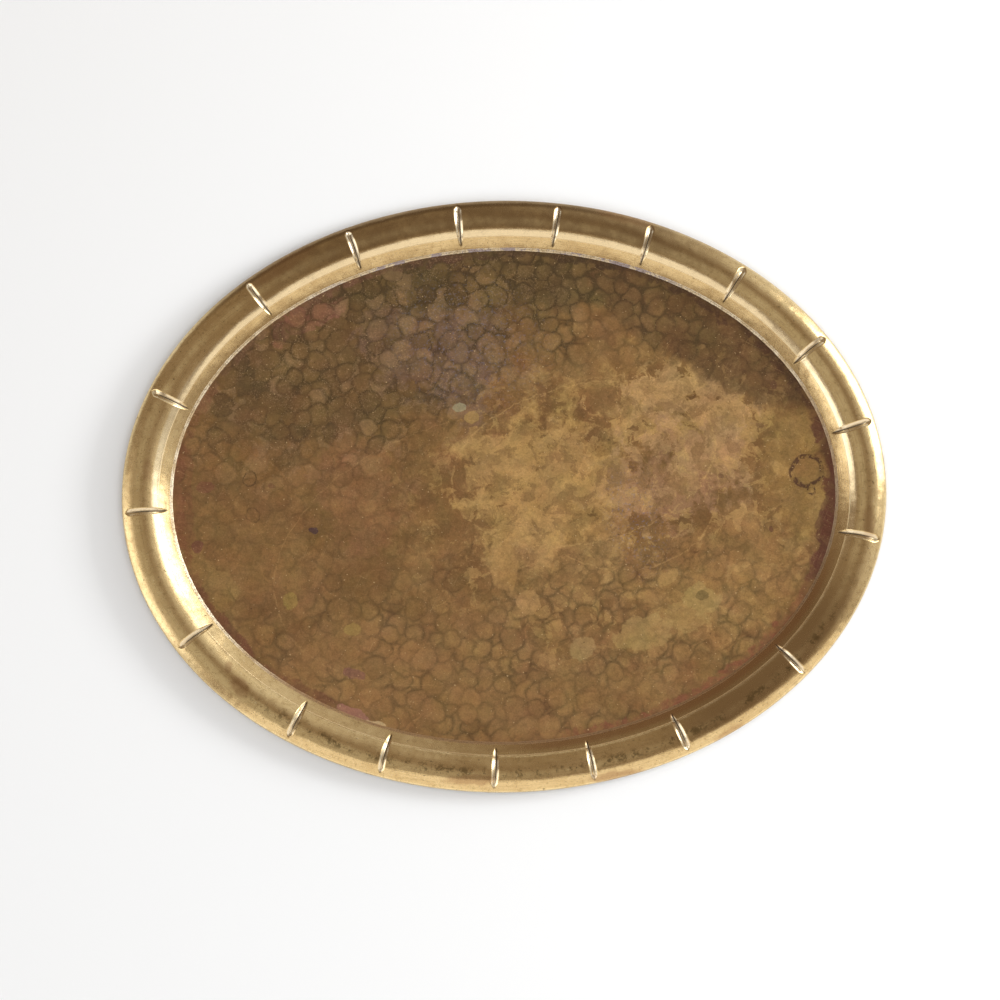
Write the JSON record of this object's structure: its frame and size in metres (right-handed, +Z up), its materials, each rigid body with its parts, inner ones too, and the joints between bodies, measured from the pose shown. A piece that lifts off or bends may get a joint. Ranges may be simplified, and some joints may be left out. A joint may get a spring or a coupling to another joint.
{
  "type": "serving tray",
  "caption": "Oval brass serving tray: flat hammered plate soldered inside a broad rolled rim moulding pressed with V notches, wired at the outer edge.",
  "frame": {"origin": "centre of the plate's flat underside, which is what the tray rests on", "axes": "+X along the oval's long axis, +Y along its short axis, +Z up out of the serving side"},
  "size_m": [0.42, 0.328, 0.0106],
  "materials": {
    "plate": "hammered brass under a dark brown and olive patina, satin",
    "rim": "polished brass, lightly tarnished",
    "wire": "drawn brass wire, dull",
    "seam": "grey soft solder with a bluish tarnish"
  },
  "bodies": {
    "root": {"floor_plate": "plate", "rim_moulding": "rim", "edge_wire": "wire", "solder_seam": "seam", "back_solder_seam": "seam"}
  },
  "joints": []
}
